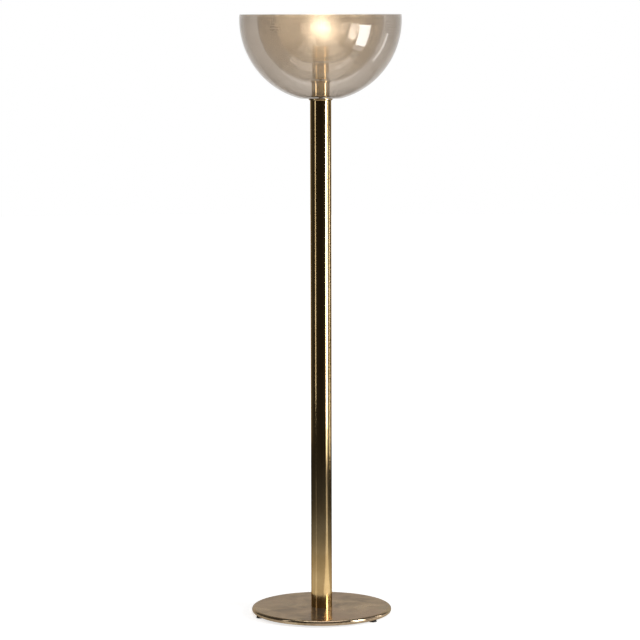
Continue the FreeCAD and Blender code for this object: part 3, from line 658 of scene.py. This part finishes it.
def floor_material():
    """Pale seamless paper, lit more and more evenly away from the lamp."""
    graph = Graph("pale_floor")
    place = graph.place()
    grain = graph.noise(place, 30, 3)
    tone = graph.ramp(grain, (0.3, (0.86, 0.86, 0.86)), (0.7, (0.90, 0.90, 0.90)))
    distance = graph.add("ShaderNodeVectorMath", operation="LENGTH", inputs={0: place}).outputs["Value"]
    return graph.finish(graph.principled(
        Base_Color=tone, Roughness=0.8, Emission_Color=(1, 1, 1, 1),
        Emission_Strength=graph.span(distance, 0.3, 1.6, 0.72, 1.15)))


def bounce_material():
    """Bright paper under the lamp that fades out towards the dark of the studio."""
    graph = Graph("floor_bounce")
    place = graph.place()
    distance = graph.add("ShaderNodeVectorMath", operation="LENGTH", inputs={0: place}).outputs["Value"]
    level = graph.ramp(
        graph.span(distance, 0, BOUNCE_RADIUS, 0, 1),
        (0.0, (0.60, 0.58, 0.54)), (0.16, (0.57, 0.55, 0.51)), (0.26, (0.42, 0.41, 0.39)),
        (0.36, (0.17, 0.165, 0.16)), (0.46, (0.12, 0.12, 0.12)), (0.58, (0.04, 0.04, 0.04)),
        (0.9, (0.018, 0.018, 0.018)))
    emission = graph.add("ShaderNodeEmission", inputs={"Color": level, "Strength": 1.0})
    return graph.finish(emission.outputs[0])


floor = stage_disc("floor", FLOOR_RADIUS, 0.0, floor_material())
floor.visible_glossy = False
floor.visible_diffuse = False
floor.visible_shadow = False
bounce = stage_disc("floor_bounce", BOUNCE_RADIUS, -BOUNCE_DEPTH, bounce_material())
bounce.visible_camera = False
bounce.visible_shadow = False


def make_world():
    """White backdrop for the eye; for reflections a grey wall behind the lamp and a dark room in front."""
    world = bpy.data.worlds.new("studio")
    world.use_nodes = True
    tree = world.node_tree
    tree.nodes.clear()
    output = tree.nodes.new("ShaderNodeOutputWorld")
    mix = tree.nodes.new("ShaderNodeMixShader")
    path = tree.nodes.new("ShaderNodeLightPath")
    room = tree.nodes.new("ShaderNodeBackground")
    backdrop = tree.nodes.new("ShaderNodeBackground")
    backdrop.inputs["Color"].default_value = (1, 1, 1, 1)
    backdrop.inputs["Strength"].default_value = 1.0
    where = tree.nodes.new("ShaderNodeTexCoord")
    split = tree.nodes.new("ShaderNodeSeparateXYZ")
    ramp = tree.nodes.new("ShaderNodeValToRGB")
    shift = tree.nodes.new("ShaderNodeMath")
    shift.operation = "MULTIPLY_ADD"
    shift.inputs[1].default_value = 0.5
    shift.inputs[2].default_value = 0.5
    tree.links.new(where.outputs["Generated"], split.inputs[0])
    tree.links.new(split.outputs["Y"], shift.inputs[0])
    tree.links.new(shift.outputs[0], ramp.inputs["Fac"])
    elements = ramp.color_ramp.elements
    stops = (
        (0.0, (0.016, 0.013, 0.010)), (0.55, (0.030, 0.027, 0.023)),
        (0.84, (0.09, 0.087, 0.082)), (0.93, (0.60, 0.59, 0.58)))
    while len(elements) < len(stops):
        elements.new(0.5)
    for element, (position, colour) in zip(elements, stops):
        element.position = position
        element.color = (*colour, 1)
    tree.links.new(ramp.outputs["Color"], room.inputs["Color"])
    tree.links.new(path.outputs["Is Camera Ray"], mix.inputs[0])
    tree.links.new(room.outputs[0], mix.inputs[1])
    tree.links.new(backdrop.outputs[0], mix.inputs[2])
    tree.links.new(mix.outputs[0], output.inputs["Surface"])
    bpy.context.scene.world = world


def area_light(name, azimuth, distance, bottom, top, width, radiance, receivers=()):
    """An upright soft box at an azimuth from the front towards +X, facing the lamp.

    With receivers it lights those pieces alone.
    """
    light = bpy.data.lights.new(name, "AREA")
    light.shape = "RECTANGLE"
    light.size = width
    light.size_y = top - bottom
    light.energy = radiance * math.pi * width * (top - bottom)
    box = bpy.data.objects.new(name, light)
    angle = math.radians(azimuth)
    box.location = (distance * math.sin(angle), -distance * math.cos(angle), (top + bottom) / 2)
    box.rotation_euler = (math.radians(90), 0, angle)
    box.visible_camera = False
    bpy.context.scene.collection.objects.link(box)
    if receivers:
        only = bpy.data.collections.new(name + "_receivers")
        for receiver in receivers:
            only.objects.link(receiver)
        box.light_linking.receiver_collection = only


def floor_card(name, azimuth, near, far, width, radiance):
    """A reflector lying on the floor from near to far along an azimuth, facing up."""
    light = bpy.data.lights.new(name, "AREA")
    light.shape = "RECTANGLE"
    light.size = width
    light.size_y = far - near
    light.energy = radiance * math.pi * width * (far - near)
    card = bpy.data.objects.new(name, light)
    angle = math.radians(azimuth)
    reach = (near + far) / 2
    card.location = (reach * math.sin(angle), -reach * math.cos(angle), 0.001)
    card.rotation_euler = (math.pi, 0, angle)
    card.visible_camera = False
    bpy.context.scene.collection.objects.link(card)


def overhead_light(size, height, radiance):
    """A square soft box over the lamp, a little towards the front."""
    light = bpy.data.lights.new("overhead", "AREA")
    light.shape = "SQUARE"
    light.size = size
    light.energy = radiance * math.pi * size * size
    piece = bpy.data.objects.new("overhead", light)
    piece.location = (0, -OVERHEAD_SHIFT, height)
    piece.visible_camera = False
    bpy.context.scene.collection.objects.link(piece)


def bulb_light():
    """The light of the bulb itself, from the middle of its globe."""
    light = bpy.data.lights.new("bulb_light", "POINT")
    light.shadow_soft_size = BULB_GLOBE
    light.energy = BULB_POWER
    light.color = BULB_COLOUR
    globe = bpy.data.objects.new("bulb_light", light)
    globe.location = (0, 0, high("bulb_glass") - BULB_GLOBE)
    globe.visible_camera = False
    globe.visible_glossy = False
    bpy.context.scene.collection.objects.link(globe)
    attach(globe, BULB)


make_world()
bulb_light()
STEM = [bpy.data.objects[name + "_turned"] for name in (
    "lower_spacer", "upper_spacer", "middle_bowl_seat", "inner_bowl_seat", "socket_cup")]
POLE_AND_BASE = [bpy.data.objects[name] for name in (
    "pole_tube_turned", "pole_top_flange_turned", "base_cover_spun")]

# Each soft box: azimuth, distance, bottom, top, width, radiance.
area_light("window", 63.6, 2.2, 0.44, 1.50, 0.70, 11.0)
area_light("window_sill", 61, 2.2, 0.10, 0.41, 0.70, 1.8)
area_light("side_panel", 92, 3.0, 0.0, 2.4, 1.2, 0.35)
area_light("rim_strip", 109, 2.2, 0.1, 1.30, 0.16, 4.0)

# These light the brass alone: they draw the long bright lines on stem and pole.
area_light("stem_right", 63.6, 2.2, 1.50, 1.90, 0.65, 11.0, STEM + POLE_AND_BASE)
area_light("pole_right", 63.6, 2.2, 0.24, 0.43, 0.65, 7.0, POLE_AND_BASE)
area_light("stem_left", -62, 2.4, 1.25, 1.90, 0.42, 7.0, STEM)
area_light("stem_front", 0, 3.0, 0.9, 2.1, 2.4, 0.14, STEM)
area_light("left_strip", -62, 2.4, 0.3, 2.3, 0.30, 1.4, STEM + POLE_AND_BASE)

# Each card: azimuth, near end, far end, width, radiance.
floor_card("right_card", 62, 0.25, 2.2, 0.50, 0.55)
floor_card("left_card", -60, 0.25, 2.4, 0.14, 0.2)
overhead_light(2.6, 3.4, 1.4)


# ---- camera ----

CAMERA_DISTANCE = 7.87
CAMERA_PITCH = 6.404
CAMERA_ROLL = 0.116
CAMERA_LENS = 153.2
CAMERA_SIDE = -0.0014

camera_data = bpy.data.cameras.new("camera")
camera_data.lens = CAMERA_LENS
camera_data.sensor_width = 36
camera_data.clip_end = 60
camera = bpy.data.objects.new("camera", camera_data)
camera.location = (CAMERA_SIDE, -CAMERA_DISTANCE, RIM_Z)
camera.rotation_euler = (math.radians(90 - CAMERA_PITCH), math.radians(CAMERA_ROLL), 0)
bpy.context.scene.collection.objects.link(camera)
bpy.context.scene.camera = camera

bpy.context.scene.view_settings.view_transform = "Standard"
bpy.context.scene.cycles.transparent_max_bounces = 40
